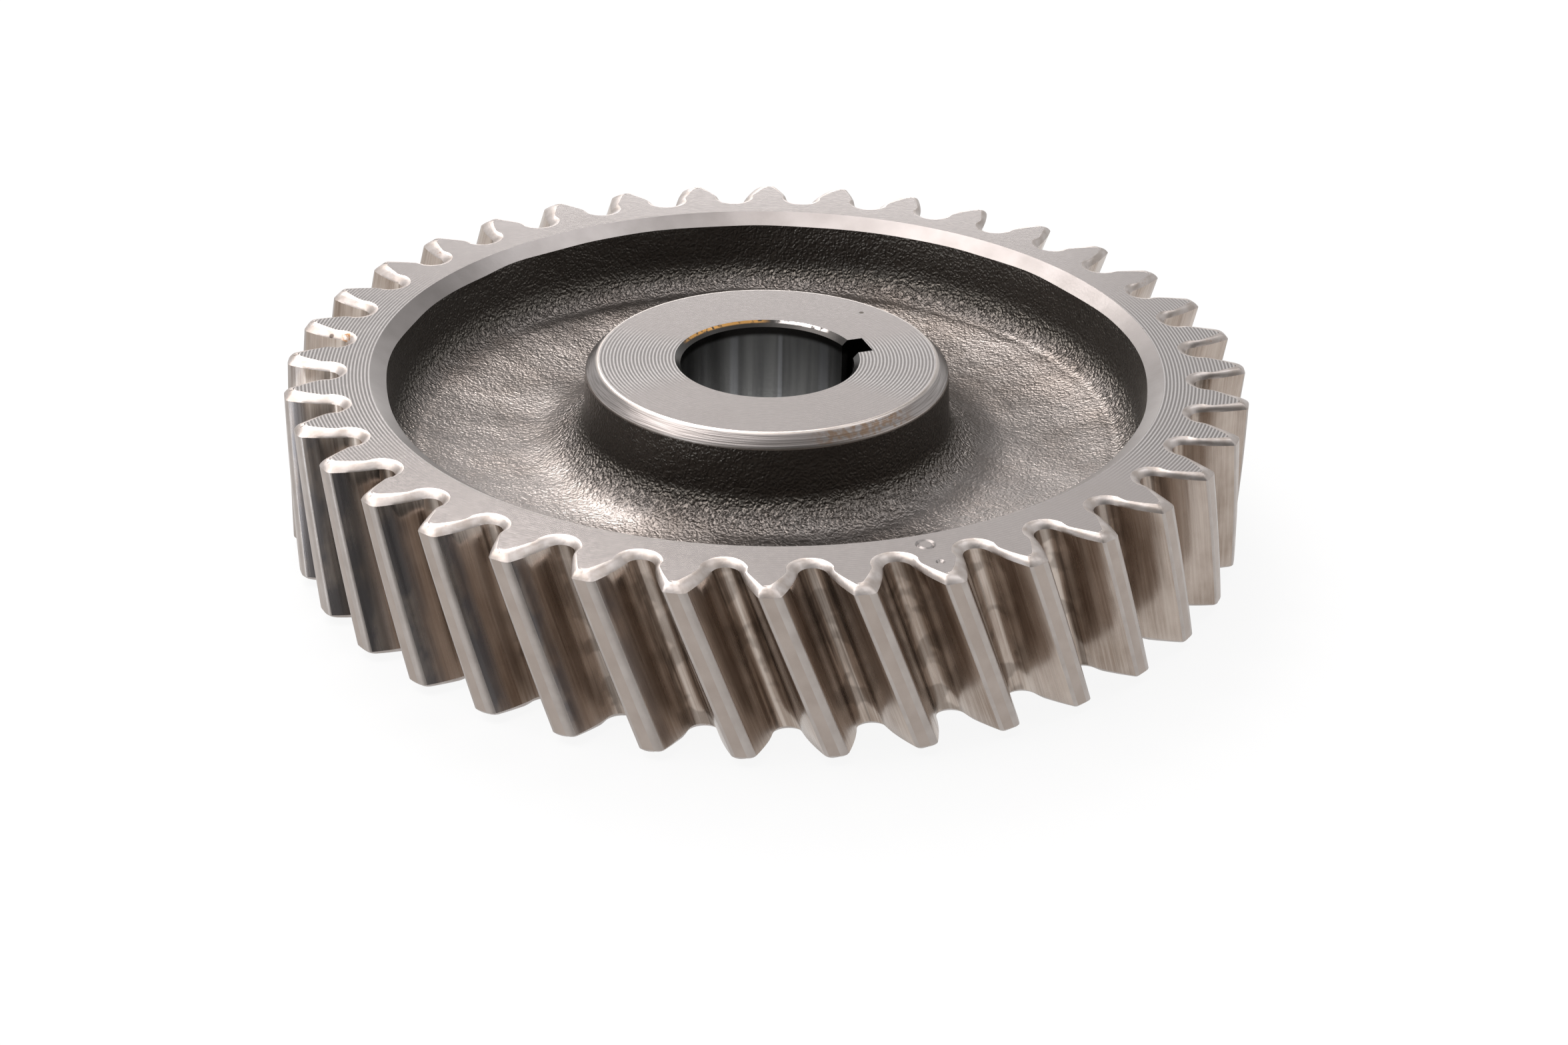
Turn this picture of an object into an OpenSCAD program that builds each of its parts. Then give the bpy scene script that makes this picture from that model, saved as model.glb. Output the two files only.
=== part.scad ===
// Balance shaft gear: one forged steel disc with left-hand helical teeth, a deep recess on its front
// face, a shallow one on its back face, and a keyed hub.
// The axis is Z. The back face of the hub lies on z = 0 and the keyway points along +X.

/* [Teeth] */
// Number of teeth
teeth = 36; // [30:1:48]
// Module in the normal section
normal_module = 3; // [2.5:0.25:4]
// Helix angle at the pitch circle, left hand
helix_angle = 20; // [0:1:30]
// Pressure angle in the normal section
pressure_angle = 20; // [17.5:0.5:24]
// Depth of the tooth space below the pitch circle, in modules
root_depth = 1.25; // [1.15:0.05:1.35]
// Width of the toothed rim along the axis
face_w = 22; // [19:0.5:30]
// Bevel along the tooth edges, measured across the end face
edge_bevel_w = 0.75; // [0.2:0.05:1]
// Bevel along the tooth edges, measured along the axis
edge_bevel_h = 0.9; // [0.2:0.05:1.5]

/* [Rim and web] */
// Thickness of the rim between the tooth spaces and the recess wall
rim_t = 5.8; // [4.5:0.1:8]
// Width of the turned bevel at the mouth of a recess
mouth_bevel_w = 1.95; // [0.5:0.05:2.4]
// Height of the turned bevel at the mouth of a recess
mouth_bevel_h = 1.35; // [0.5:0.05:1.6]
// Thickness of the web
web_t = 6.9; // [4:0.1:9]
// Depth of the recess in the back face
back_recess = 3.8; // [3.4:0.1:5]
// Largest radius of the forged fillet between the hub and the web
hub_fillet = 3; // [1.5:0.5:5]
// Largest radius of the forged fillet between the rim and the web
rim_fillet = 4; // [1.5:0.5:5]
// Forging draft of the recess wall
rim_draft = 4; // [1:0.5:7]

/* [Hub] */
// Diameter of the hub below its bevel
hub_d = 46; // [36:0.5:56]
// Height by which each hub face stands above the rim face
hub_rise = 0.3; // [0.1:0.1:1]
// Bevel around each hub face
hub_bevel = 1.45; // [0.5:0.05:2]
// Forging draft of the hub's side
hub_draft = 2; // [0:0.5:5]

/* [Bore and keyway] */
// Diameter of the bore
bore_d = 22; // [16:0.5:28]
// Bevel at both ends of the bore
bore_bevel = 0.7; // [0.2:0.1:1.2]
// Width of the keyway
key_w = 4; // [3:0.5:6]
// Depth of the keyway beyond the wall of the bore
key_depth = 2.5; // [1.5:0.1:3.5]

/* [Timing mark] */
// Outer diameter of the stamped ring on the front face
mark_d = 2.4; // [1.6:0.1:3]
// Width of the ring's groove
mark_line_w = 0.45; // [0.2:0.05:0.6]
// Diameter of the punched dot beside the ring
dot_d = 1.2; // [0.6:0.1:1.6]
// Depth of the ring's groove and of the dot
mark_depth = 0.2; // [0.1:0.05:0.4]

/* [Hidden] */
$fn = 96;

// Extra length of a cutting body past the face that it cuts
over = 1;

// Points along one root fillet, along one flank, along a recess fillet, and bands along the face width
fillet_steps = 5;
flank_steps = 5;
arc_steps = 8;
helix_bands = 3;

// First guess and number of halvings for the root fillet, and the share of it at which the flank's
// angle is read
fillet_guess = normal_module / 2;
fillet_rounds = 24;
fillet_share = 0.8;

// Angle of the marked tooth about the axis, distance of the ring's middle inside the root circle, and
// diameter at the bottom of the punched dot
mark_angle = -90;
ring_inset = 0.7 * mark_d;
dot_floor_d = dot_d / 2;

// Tooth geometry in the end face
pitch_r = teeth * normal_module / cos(helix_angle) / 2;
end_angle = atan(tan(pressure_angle) / cos(helix_angle));
base_r = pitch_r * cos(end_angle);
tip_r = pitch_r + normal_module;
root_r = pitch_r - root_depth * normal_module;
half_pitch = 180 / teeth;

// Heights of the whole gear, its faces and its middle
total_h = face_w + 2 * hub_rise;
rim_top = hub_rise + face_w;
mid_z = total_h / 2;

hub_r = hub_d / 2;
bore_r = bore_d / 2;
mouth_r = root_r - rim_t;
front_recess = face_w - web_t - back_recess;

// Angle between the radius and the flank where the flank is at radius r
function flank_angle(r) = acos(min(1, base_r / r));
function involute(a) = tan(a) * 180 / PI - a;

// Half the angle that a tooth fills at radius r, with its flanks moved inwards by cut
function half_tooth(r, cut = 0) =
    half_pitch / 2 + involute(end_angle) - involute(flank_angle(r)) - cut / base_r * 180 / PI;

// Half the width of a tooth space at radius r
function half_space(r) = r * sin(half_pitch - half_tooth(r));

// Radius at which a root fillet of radius f runs into the flank, and the flank's angle there
function join_r(f) = root_r + f * (1 - sin(flank_angle(root_r + fillet_share * f)));
function join_angle(f) = flank_angle(join_r(f));

// Root fillet that fills the tooth space and is tangent to both flanks, found by repeated halving
function settle(f, n) =
    n == 0 ? f : settle((f + half_space(join_r(f)) / cos(join_angle(f))) / 2, n - 1);
root_fillet = settle(fillet_guess, fillet_rounds);

// Length of the line that touches the base circle and ends on the flank at radius r
function reach(r) = sqrt(pow(r, 2) - pow(base_r, 2));

// Half a tooth as [radius, angle] pairs, from the middle of the space up to the tip. Every edge is
// moved into the metal by cut, which gives the outline of the bevelled end face.
function half_outline(cut) = let (
    centre_r = root_r + root_fillet,
    last = join_angle(root_fillet),
    low = reach(join_r(root_fillet)) - cut,
    high = reach(tip_r - cut)
) [
    for (i = [0 : fillet_steps - 1])
        let (
            t = 90 - (90 - last) * i / fillet_steps,
            x = (root_fillet + cut) * cos(t),
            y = centre_r - (root_fillet + cut) * sin(t)
        ) [norm([x, y]), -half_pitch + atan2(x, y)],
    for (i = [0 : flank_steps])
        let (
            span = low + (high - low) * i / flank_steps,
            r = norm([base_r, span])
        ) [r, -half_tooth(r, cut)]
];

// One whole tooth with the space before it
function tooth_outline(cut) = let (half = half_outline(cut), n = len(half)) [
    each half,
    for (i = [n - 1 : -1 : 1]) [half[i][0], -half[i][1]]
];

// Turn of the left-hand helix at height z, with a tooth space on the keyway at mid width
function helix_turn(z) = half_pitch - (z - mid_z) * tan(helix_angle) / pitch_r * 180 / PI;

// All teeth as one ring of points at height z
function tooth_ring(z, cut) = let (tooth = tooth_outline(cut)) [
    for (k = [0 : teeth - 1], p = tooth)
        let (a = p[1] + 2 * half_pitch * k + helix_turn(z)) [p[0] * cos(a), p[0] * sin(a), z]
];

// Arc as points around [r, z]
function arc(r, z, radius, from, to) = [
    for (i = [0 : arc_steps])
        let (a = from + (to - from) * i / arc_steps) [r + radius * cos(a), z + radius * sin(a)]
];

// Toothed disc with bevelled tooth edges at both faces
module toothed_blank() {
    low = hub_rise + edge_bevel_h;
    high = rim_top - edge_bevel_h;
    rings = [
        tooth_ring(hub_rise, edge_bevel_w),
        for (i = [0 : helix_bands]) tooth_ring(low + (high - low) * i / helix_bands, 0),
        tooth_ring(rim_top, edge_bevel_w)
    ];
    n = len(rings[0]);
    top = len(rings) - 1;
    points = [for (ring = rings, p = ring) p, [0, 0, hub_rise], [0, 0, rim_top]];
    back_centre = (top + 1) * n;
    front_centre = back_centre + 1;
    sides = [
        for (k = [0 : top - 1], i = [0 : n - 1])
            let (a = k * n + i, b = k * n + (i + 1) % n)
                each [[a, a + n, b + n], [a, b + n, b]]
    ];
    back = [for (i = [0 : n - 1]) [i, (i + 1) % n, back_centre]];
    front = [for (i = [0 : n - 1]) [top * n + (i + 1) % n, top * n + i, front_centre]];
    polyhedron(points, concat(sides, back, front));
}

// Space around the hub, cut down to the given depth below a rim face at z = 0
module recess(depth) {
    hub_edge = hub_rise - hub_bevel;
    hub_f = min(hub_fillet, depth + hub_edge);
    rim_f = min(rim_fillet, depth - mouth_bevel_h);
    hub_join = -depth + hub_f * (1 - sin(hub_draft));
    rim_join = -depth + rim_f * (1 - sin(rim_draft));
    hub_centre = hub_r + (hub_edge - hub_join) * tan(hub_draft) + hub_f * cos(hub_draft);
    rim_centre = mouth_r - (-mouth_bevel_h - rim_join) * tan(rim_draft) - rim_f * cos(rim_draft);
    rotate_extrude()
        polygon([
            [hub_r - hub_bevel, hub_rise + over],
            [hub_r - hub_bevel, hub_rise],
            [hub_r, hub_edge],
            each arc(hub_centre, -depth + hub_f, hub_f, 180 + hub_draft, 270),
            each arc(rim_centre, -depth + rim_f, rim_f, 270, 360 - rim_draft),
            [mouth_r, -mouth_bevel_h],
            [mouth_r + mouth_bevel_w, 0],
            [mouth_r + mouth_bevel_w, hub_rise + over]
        ]);
}

// Bore with a bevel at each end
module bore() {
    flare_h = bore_bevel + over;
    translate([0, 0, -over])
        cylinder(r = bore_r, h = total_h + 2 * over);
    translate([0, 0, total_h - bore_bevel])
        cylinder(r1 = bore_r, r2 = bore_r + flare_h, h = flare_h);
    translate([0, 0, -over])
        cylinder(r1 = bore_r + flare_h, r2 = bore_r, h = flare_h);
}

// Keyway through the whole length of the bore
module keyway() {
    translate([0, -key_w / 2, -over])
        cube([bore_r + key_depth, key_w, total_h + 2 * over]);
}

// Stamped ring and punched dot on the tooth that sets the timing, a quarter turn before the keyway
module timing_mark() {
    tooth_at = round((mark_angle - helix_turn(rim_top)) / (2 * half_pitch));
    ring_x = root_r - ring_inset;
    dot_x = root_r + normal_module;
    rotate(helix_turn(rim_top) + tooth_at * 2 * half_pitch) {
        translate([ring_x, 0, rim_top - mark_depth])
            difference() {
                cylinder(d = mark_d, h = mark_depth + over);
                translate([0, 0, -over])
                    cylinder(d = mark_d - 2 * mark_line_w, h = mark_depth + 3 * over);
            }
        translate([dot_x, 0, rim_top - mark_depth])
            cylinder(d1 = dot_floor_d, d2 = dot_d, h = mark_depth);
    }
}

module gear() {
    color([0.55, 0.53, 0.51])
        difference() {
            union() {
                toothed_blank();
                cylinder(r = hub_r, h = total_h);
            }
            translate([0, 0, rim_top])
                recess(front_recess);
            translate([0, 0, hub_rise])
                mirror([0, 0, 1])
                    recess(back_recess);
            bore();
            keyway();
            timing_mark();
        }
}

gear();
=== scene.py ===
import math

import bmesh
import bpy
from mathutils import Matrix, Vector, noise


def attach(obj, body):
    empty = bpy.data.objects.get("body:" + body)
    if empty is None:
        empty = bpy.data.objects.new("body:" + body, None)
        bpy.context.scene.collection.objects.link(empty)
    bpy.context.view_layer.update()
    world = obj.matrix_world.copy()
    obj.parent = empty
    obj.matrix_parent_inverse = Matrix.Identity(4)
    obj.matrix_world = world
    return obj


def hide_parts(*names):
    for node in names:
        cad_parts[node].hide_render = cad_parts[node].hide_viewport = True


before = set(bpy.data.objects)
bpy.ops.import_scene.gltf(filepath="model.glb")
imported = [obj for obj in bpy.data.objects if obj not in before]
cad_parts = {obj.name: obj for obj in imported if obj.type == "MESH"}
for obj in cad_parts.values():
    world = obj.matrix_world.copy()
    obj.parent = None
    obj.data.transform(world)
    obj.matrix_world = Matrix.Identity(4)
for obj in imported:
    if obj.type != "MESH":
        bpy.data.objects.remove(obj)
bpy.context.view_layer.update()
millimetre = 0.001  # in metres: the gear is modelled in millimetres and scaled once at the end

# Surface finishes of the gear, in the order of its material slots
finishes = ["turned", "band", "flank", "land", "edge", "forged", "mouth", "hubBevel", "bore"]
slotOf = {name: index for index, name in enumerate(finishes)}

# Millimetres and degrees, the same as in the CAD gear
gearSizes = {
    "teeth": 36, "module": 3.0, "helix": 20.0, "pressure": 20.0, "rootDepth": 1.25,
    "filletGuess": 0.5, "filletShare": 0.8, "filletRounds": 24,
    "backFace": 0.3, "frontFace": 22.3, "height": 22.6,
    "rimThickness": 5.8, "rimDraft": 4.0, "mouthWidth": 1.95, "mouthHeight": 1.35,
    "hubRadius": 23.0, "hubBevel": 1.45, "hubDraft": 2.0,
    "boreRadius": 11.0, "boreBevel": 0.7, "keyHalf": 2.0, "keyFloor": 13.5,
}
sharpAngle = 29.0  # an edge is sharp where its faces meet at more than this many degrees
sameHeight = 0.01  # a vertex lies in a flat face when its height differs by less than this

# Tooth shape in the end face, all from the sizes above
teeth = gearSizes["teeth"]
halfPitch = math.pi / teeth
helix = math.radians(gearSizes["helix"])
pitchRadius = teeth * gearSizes["module"] / math.cos(helix) / 2
endAngle = math.atan(math.tan(math.radians(gearSizes["pressure"])) / math.cos(helix))
baseRadius = pitchRadius * math.cos(endAngle)
tipRadius = pitchRadius + gearSizes["module"]
rootRadius = pitchRadius - gearSizes["rootDepth"] * gearSizes["module"]
mouthRadius = rootRadius - gearSizes["rimThickness"]
midHeight = gearSizes["height"] / 2
twist = math.tan(helix) / pitchRadius  # turn of a tooth per millimetre of height


def flankAngle(radius):
    return math.acos(min(1, baseRadius / radius))


def involute(angle):
    return math.tan(angle) - angle


def halfTooth(radius, cut=0.0):
    # Half the angle that a tooth fills at a radius, with its flanks moved inwards by cut
    return halfPitch / 2 + involute(endAngle) - involute(flankAngle(radius)) - cut / baseRadius


def joinRadius(fillet):
    # Radius at which a root fillet runs into the flank
    share = gearSizes["filletShare"]
    return rootRadius + fillet * (1 - math.sin(flankAngle(rootRadius + share * fillet)))


def settledFillet():
    # Root fillet that fills the space between two teeth and is tangent to both flanks
    fillet = gearSizes["filletGuess"] * gearSizes["module"]
    for _ in range(gearSizes["filletRounds"]):  # each round leaves about 0.6 of the error
        radius = joinRadius(fillet)
        halfSpace = radius * math.sin(halfPitch - halfTooth(radius))
        fillet = (fillet + halfSpace / math.cos(flankAngle(radius))) / 2
    return fillet


rootFillet = settledFillet()


def polar(radius, angle, z=0.0):
    return Vector((radius * math.cos(angle), radius * math.sin(angle), z))


def helixTurn(z):
    return halfPitch - (z - midHeight) * twist


toothDetail = {
    "rootPoints": 7, "flankPoints": 9, "roundPoints": 3, "helixSteps": 8,
    "edgeRound": (0.35, 0.8),  # rolled-over long edge on the trailing and on the leading side
    "roundStart": 0.6,  # how far below the tip a rolled edge begins, as a share of its size
    # Deburred band: its height, its curve as shares of width and of height, and its widths along a tooth
    "bandHeight": 0.75,
    "bandCurve": [(0.0, 1.0), (0.14, 0.73), (0.3, 0.48), (0.5, 0.24), (0.74, 0.07), (1.0, 0.0)],
    "rootBand": 1.1, "flankBand": 0.85, "tipBand": 1.4,
    "narrowAt": 0.3,  # how far up the flank the band has its flank width
    "narrowSide": 0.8,  # share of that width and of the tip's on the trailing side
    "wobble": 0.12, "wobbleRates": (0.35, 0.11), "wobbleSeed": 1,
}


def halfOutline(cut, edgeRound):
    # Half a tooth from the middle of its space to the middle of its land, every edge moved inwards by cut
    last = flankAngle(joinRadius(rootFillet))
    centre = rootRadius + rootFillet
    points = []
    for i in range(toothDetail["rootPoints"]):
        turn = math.pi / 2 - (math.pi / 2 - last) * i / toothDetail["rootPoints"]
        x = (rootFillet + cut) * math.cos(turn)
        y = centre - (rootFillet + cut) * math.sin(turn)
        points.append(polar(math.hypot(x, y), -halfPitch + math.atan2(x, y)))
    tip = tipRadius - cut
    low = math.sqrt(joinRadius(rootFillet) ** 2 - baseRadius ** 2) - cut
    high = math.sqrt((tip - toothDetail["roundStart"] * edgeRound) ** 2 - baseRadius ** 2)
    for i in range(toothDetail["flankPoints"] + 1):
        radius = math.hypot(baseRadius, low + (high - low) * i / toothDetail["flankPoints"])
        points.append(polar(radius, -halfTooth(radius, cut)))
    start = points[-1]
    corner = polar(tip, -halfTooth(tip, cut))
    end = polar(tip, -halfTooth(tip, cut) + edgeRound / tip)
    for i in range(1, toothDetail["roundPoints"] + 1):  # rolls the long edge of the tooth over
        t = i / toothDetail["roundPoints"]
        points.append(start * (1 - t) ** 2 + corner * 2 * t * (1 - t) + end * t ** 2)
    points.append(polar(tip, 0))
    return points


halfCount = len(halfOutline(0, toothDetail["edgeRound"][0]))
flankStart = toothDetail["rootPoints"]
flankEnd = flankStart + toothDetail["flankPoints"]


def bandWidth(station, leading):
    # Width of the deburred band beside one point of the tooth's outline
    rootBand, narrowAt = toothDetail["rootBand"], toothDetail["narrowAt"]
    if station <= flankStart:
        return rootBand
    rise = min(1, (station - flankStart) / (flankEnd - flankStart))
    side = 1 if leading else toothDetail["narrowSide"]
    middle = toothDetail["flankBand"] * side
    if rise < narrowAt:
        return rootBand + (middle - rootBand) * rise / narrowAt
    return middle + (toothDetail["tipBand"] * side - middle) * (rise - narrowAt) / (1 - narrowAt)


def toothChain(z, share=0.0):
    # One whole tooth with half a space on each side, turned by the helix to its place at height z
    widths = [[bandWidth(i, leading) * share for i in range(halfCount)] for leading in (False, True)]
    trailing, leading = toothDetail["edgeRound"]
    lower = [halfOutline(width, trailing)[i] for i, width in enumerate(widths[0])]
    upper = [halfOutline(width, leading)[i] for i, width in enumerate(widths[1])]
    lower[-1] = (lower[-1] + upper[-1]) / 2
    flipped = [Vector((p.x, -p.y, 0)) for p in reversed(upper[:-1])]
    turn = helixTurn(z)
    cos, sin = math.cos(turn), math.sin(turn)
    return [Vector((p.x * cos - p.y * sin, p.x * sin + p.y * cos, z)) for p in lower + flipped]


def extrudeTo(bm, chain, places, closed=False):
    # Extrudes a run of vertices and sends each new one to its place
    pairs = list(zip(chain, chain[1:] + chain[:1])) if closed else list(zip(chain, chain[1:]))
    made = bmesh.ops.extrude_edge_only(bm, edges=[bm.edges.get(pair) for pair in pairs])["geom"]
    fresh = {item for item in made if isinstance(item, bmesh.types.BMVert)}
    twins = [next(e.other_vert(v) for e in v.link_edges if e.other_vert(v) in fresh) for v in chain]
    for twin, place in zip(twins, places):
        twin.co = place
    ends = zip(twins, twins[1:] + twins[:1]) if closed else zip(twins, twins[1:])
    return twins, [bm.edges.get(pair).link_faces[0] for pair in ends]


def startChain(bm, places):
    chain = [bm.verts.new(place) for place in places]
    for pair in zip(chain, chain[1:]):
        bm.edges.new(pair)
    return chain


def ringOfCopies(bm, count):
    # Copies one sector round the axis and welds the sectors together
    bmesh.ops.spin(bm, geom=bm.verts[:] + bm.edges[:] + bm.faces[:], cent=(0, 0, 0), axis=(0, 0, 1),
                   angle=2 * math.pi * (count - 1) / count, steps=count - 1, use_duplicate=True)
    bmesh.ops.remove_doubles(bm, verts=bm.verts[:], dist=0.002)


def addTeeth(bm):
    back, front = gearSizes["backFace"], gearSizes["frontFace"]
    height, curve, steps = toothDetail["bandHeight"], toothDetail["bandCurve"], toothDetail["helixSteps"]
    low, high = back + height, front - height
    rings = [(back + height * rise, share, True) for share, rise in reversed(curve)]
    rings += [(low + (high - low) * i / steps, 0.0, False) for i in range(1, steps + 1)]
    rings += [(front - height * rise, share, True) for share, rise in curve[1:]]
    chain = startChain(bm, toothChain(rings[0][0], rings[0][1]))
    for z, share, inBand in rings[1:]:
        chain, faces = extrudeTo(bm, chain, toothChain(z, share))
        for index, face in enumerate(faces):
            station = min(index, len(faces) - 1 - index)
            across = "flank" if station < flankEnd else "edge" if station < halfCount - 2 else "land"
            face.material_index = slotOf["band" if inBand else across]
    ringOfCopies(bm, teeth)
    noise.seed_set(toothDetail["wobbleSeed"])  # noise vectors differ from run to run without a seed
    fine, broad = toothDetail["wobbleRates"]
    for vert in bm.verts:  # the hand-held wheel left an uneven inner line
        if vert.co.z > front - sameHeight or vert.co.z < back + sameHeight:
            drift = noise.noise_vector(vert.co * fine) + noise.noise_vector(vert.co * broad)
            vert.co += Vector((drift.x, drift.y, 0)) * toothDetail["wobble"]


def arc(radius, z, size, wide, start, end, steps):
    # Part of an ellipse: size is its height, and wide stretches it along the radius
    angles = [math.radians(start + (end - start) * i / steps) for i in range(steps + 1)]
    return [(radius + size * wide * math.cos(angle), z + size * math.sin(angle)) for angle in angles]


def filledIn(points, longest):
    # Adds points along the straight stretches, so that none is longer than the given length
    result = [points[0]]
    for a, b in zip(points, points[1:]):
        parts = max(1, math.ceil(math.dist(a, b) / longest))
        for i in range(1, parts + 1):
            result.append((a[0] + (b[0] - a[0]) * i / parts, a[1] + (b[1] - a[1]) * i / parts))
    return result


def rounded(before, corner, after, size, steps=4):
    # Points of a round at a corner of the section
    before, corner, after = Vector(before), Vector(corner), Vector(after)
    start = corner + (before - corner).normalized() * size
    end = corner + (after - corner).normalized() * size
    points = []
    for i in range(steps + 1):
        t = i / steps
        points.append(tuple(start * (1 - t) ** 2 + corner * 2 * i / steps * (1 - t) + end * t ** 2))
    return points


# Each recess: heights of the rim's face and of the hub's face, depth under the rim's face, longest stretch of
# the section, fillet at the hub (steps, height and stretch), rise of the web, and round at the wall
recessDetail = {
    "front": {"face": gearSizes["frontFace"], "hubFace": gearSizes["height"], "depth": 11.3, "cell": 0.75,
              "arcSteps": 14, "hubFillet": (4.4, 1.8), "dish": 2.4, "corner": 3.2},
    "back": {"face": gearSizes["backFace"], "hubFace": 0.0, "depth": 3.8, "cell": 1.6,
             "arcSteps": 6, "hubFillet": (3.0, 1.0), "dish": 0.0, "corner": 2.2},
    "edgeRound": 0.24, "roundShare": 0.9, "cornerSteps": 9, "webSteps": 20, "webEnd": 0.3,
    "spinSteps": 384, "spinCopies": 24,
    "hubMargin": 0.02, "wornHighlightEdges": (0.15, 0.13),  # edges inside and outside the hub's bevel, polished by wear and lighter as a painted highlight
    "webMiddle": 9.0,  # a height inside the web, between the two recesses
    "skin": (1.7, 20.9), "fade": 1.3,  # the skin is smooth beyond these heights, and fades in within them
    "swell": 0.18, "swellSize": 8.0, "dimple": 0.04, "dimpleSize": 2.6, "dimpleShift": (7, 3, 5),
    "mouthWave": 0.22, "mouthWaveSize": 9.0, "mouthMargin": 0.1,
}


def addRecess(bm, side):
    # Spins the wall, web and hub side of one recess. Heights count outwards from the rim's face, so they are
    # negative in the metal.
    detail = recessDetail[side]
    up = 1 if side == "front" else -1
    depth = detail["depth"]
    hubRise = abs(detail["hubFace"] - detail["face"])
    hubEdge = hubRise - gearSizes["hubBevel"]
    hubF, hubWide = detail["hubFillet"]
    hubF = min(hubF, depth + hubEdge)
    hubDraft, rimDraft = math.radians(gearSizes["hubDraft"]), math.radians(gearSizes["rimDraft"])
    hubJoin = -depth + hubF * (1 - math.sin(hubDraft))
    hubR = gearSizes["hubRadius"]
    hubCentre = hubR + (hubEdge - hubJoin) * math.tan(hubDraft) + hubF * hubWide * math.cos(hubDraft)
    # The web rises like a dish towards the rim, and a round joins it to the wall
    dish = detail["dish"]
    wall = Vector((mouthRadius, -gearSizes["mouthHeight"]))
    wallFoot = mouthRadius - (depth - dish - gearSizes["mouthHeight"]) * math.tan(rimDraft)
    corner = Vector((wallFoot, dish - depth))
    span = corner.x - hubCentre
    low = corner - Vector((1, 2 * dish / span))
    steps = recessDetail["webSteps"]
    shares = [i / steps for i in range(1, steps)]
    web = [(hubCentre + span * t, dish * t * t - depth) for t in shares
           if span * (1 - t) > detail["corner"] + recessDetail["webEnd"]]
    hubArc = arc(hubCentre, -depth + hubF, hubF, hubWide, 180 + gearSizes["hubDraft"], 270,
                 detail["arcSteps"])
    foot = rounded(low, corner, wall, detail["corner"], recessDetail["cornerSteps"])
    forged = filledIn([(hubR, hubEdge), *hubArc, *web, *foot, tuple(wall)], detail["cell"])
    inner = hubR - gearSizes["hubBevel"]
    size = recessDetail["edgeRound"]
    lowSize = min(size, recessDetail["roundShare"] * (hubEdge - hubJoin))
    section = [*rounded((inner - 1, hubRise), (inner, hubRise), (hubR, hubEdge), size),
               *rounded((inner, hubRise), (hubR, hubEdge), (hubR, hubEdge - 1), lowSize),
               *forged[1:], (mouthRadius + gearSizes["mouthWidth"], 0)]
    chain = startChain(bm, [Vector((x, 0, detail["face"] + up * z)) for x, z in section])
    edges = [bm.edges.get(pair) for pair in zip(chain, chain[1:])]
    copies = recessDetail["spinCopies"]
    bmesh.ops.spin(bm, geom=chain + edges, cent=(0, 0, 0), axis=(0, 0, 1), angle=2 * math.pi / copies,
                   steps=recessDetail["spinSteps"] // copies, use_duplicate=False)
    ringOfCopies(bm, copies)
    brightInner, brightOuter = recessDetail["wornHighlightEdges"]
    for face in bm.faces:
        middle = face.calc_center_median()
        radius = middle.xy.length
        height = (middle.z - detail["face"]) * up
        if radius < hubR + recessDetail["hubMargin"] and height > hubEdge - lowSize:
            kind = "hubBevel" if inner + brightInner < radius < hubR - brightOuter else "edge"
        else:
            kind = "mouth" if radius > mouthRadius else "forged"
        face.material_index = slotOf[kind]


boreDetail = {"segments": 144, "slotMargin": 0.05}


def addBore(bm):
    radius, flare = gearSizes["boreRadius"], gearSizes["boreBevel"]
    half, floor = gearSizes["keyHalf"], gearSizes["keyFloor"]
    before = set(bm.faces)
    low, high = flare, gearSizes["height"] - flare
    ring = bmesh.ops.create_circle(bm, segments=boreDetail["segments"], radius=radius)["verts"]
    bmesh.ops.translate(bm, verts=ring, vec=(0, 0, low))
    inSlot = [v for v in ring if v.co.x > 0 and abs(v.co.y) < half + boreDetail["slotMargin"]]
    kept = [v for v in ring if v not in inSlot]
    bmesh.ops.delete(bm, geom=inSlot, context="VERTS")
    kept.sort(key=lambda v: math.atan2(v.co.y, v.co.x) % (2 * math.pi))

    def slotAt(size, z):
        # The keyway's four corners at a height where the bore has the given radius
        lip = math.sqrt(size ** 2 - half ** 2)
        return [Vector((x, y, z)) for x, y in ((lip, -half), (floor, -half), (floor, half), (lip, half))]

    def sectionAt(size, z):
        places = [Vector((v.co.x, v.co.y, 0)).normalized() * size + Vector((0, 0, z)) for v in kept]
        return places + slotAt(size, z)

    slot = [bm.verts.new(place) for place in slotAt(radius, low)]
    for pair in zip([kept[-1]] + slot, slot + [kept[0]]):
        bm.edges.new(pair)
    loop = kept + slot
    upper, _ = extrudeTo(bm, loop, sectionAt(radius, high), closed=True)
    extrudeTo(bm, upper, sectionAt(radius + flare, gearSizes["height"]), closed=True)
    extrudeTo(bm, loop, sectionAt(radius + flare, 0), closed=True)
    for face in set(bm.faces) - before:
        face.material_index = slotOf["bore"]


# The ring and the dot each have a distance from the axis, an outer radius and an inner one
markSizes = {
    "azimuth": -89.0, "depth": 0.2, "segments": 32,
    "ring": (52.1, 1.2, 0.72), "dot": (56.4, 0.55, 0),
}


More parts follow.
